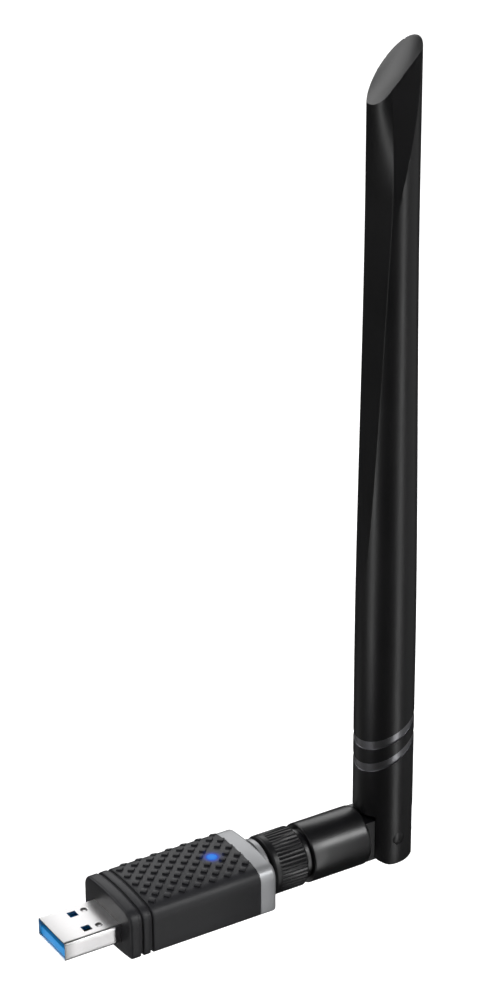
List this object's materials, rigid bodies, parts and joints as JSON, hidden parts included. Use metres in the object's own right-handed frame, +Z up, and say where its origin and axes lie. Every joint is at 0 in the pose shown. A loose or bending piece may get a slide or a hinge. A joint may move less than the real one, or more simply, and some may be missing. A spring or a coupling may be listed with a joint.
{
  "type": "usb wifi adapter",
  "caption": "USB stick wireless adapter with a ribbed screw-on connector and a hinged, swivelling stick antenna with a slanted tip.",
  "frame": {"origin": "centre of the USB plug's cross-section where it leaves the front of the case", "axes": "+X from the plug through the case and the connector towards the antenna, +Z up, out of the crown with the status lamp and along the upright antenna, +Y to the left seen from the antenna's side looking towards the plug"},
  "size_m": [0.0903, 0.0204, 0.1904],
  "materials": {
    "plug_steel": "bright nickel plate",
    "plug_blue": "moulded, slight gloss",
    "gold_contact": "gold-plated",
    "case_black": "fine spark-eroded grain",
    "collar_silver": "satin silver metallised finish",
    "board_green": "solder mask",
    "chip_black": "moulded epoxy",
    "can_tin": "tin plate",
    "ferrite": "sintered ferrite",
    "ceramic": "fired ceramic",
    "led_white": "moulded lens",
    "lamp_blue": "clear blue, lit",
    "jack_gold": "gold-plated",
    "ptfe_white": "smooth PTFE",
    "spring_steel": "plain spring steel",
    "nut_brass": "turned",
    "grip_black": "satin",
    "barrel_black": "satin",
    "antenna_black": "satin",
    "pin_black": "satin",
    "coax_brown": "smooth FEP jacket",
    "dipole_brass": "drawn tube",
    "wire_copper": "bare copper",
    "spacer_white": "moulded"
  },
  "bodies": {
    "adapter": {"usb_shell": "plug_steel", "usb_tongue": "plug_blue", "usb2_contacts": "gold_contact", "usb3_contacts": "gold_contact", "housing_sleeve": "case_black", "rear_collar": "collar_silver", "circuit_board": "board_green", "wifi_chip": "chip_black", "shield_can": "can_tin", "crystal": "can_tin", "voltage_regulator": "chip_black", "power_inductor": "ferrite", "board_capacitors": "ceramic", "status_led": "led_white", "led_window": "lamp_blue", "rf_jack_body": "jack_gold", "rf_jack_insulator": "ptfe_white", "rf_jack_pin": "gold_contact"},
    "connector": {"connector_ferrule": "jack_gold", "plug_insulator": "ptfe_white", "socket_contact": "gold_contact", "retaining_ring": "spring_steel"},
    "nut": {"coupling_nut": "nut_brass", "grip_ring": "grip_black"},
    "swivel": {"swivel_barrel": "barrel_black", "coax_lower": "coax_brown"},
    "antenna": {"antenna_sleeve": "antenna_black", "hinge_pins": "pin_black", "coax_bend": "coax_brown", "coax_upper": "coax_brown", "dipole_sleeve": "dipole_brass", "radiator_wire": "wire_copper", "radiator_spacers": "spacer_white"}
  },
  "joints": [
    {"name": "antenna_unscrew", "type": "slide", "parent": "adapter", "child": "connector", "axis": [1, 0, 0], "range_m": [0, 0.00564]},
    {"name": "nut_spin", "type": "hinge", "parent": "connector", "child": "nut", "pos_m": [0.042, 0, 0.0006], "axis": [1, 0, 0], "range_deg": [0, 2880.5]},
    {"name": "swivel", "type": "hinge", "parent": "connector", "child": "swivel", "pos_m": [0.05, 0, 0.0006], "axis": [1, 0, 0], "range_deg": [-180, 180]},
    {"name": "tilt", "type": "hinge", "parent": "swivel", "child": "antenna", "pos_m": [0.07015, 0, 0.0006], "axis": [0, 1, 0], "range_deg": [0, 90], "deforming": ["coax_bend"]}
  ],
  "couplings": [
    {"joint": "nut_spin", "follows": "antenna_unscrew", "rad_per_m": 8904.7}
  ]
}
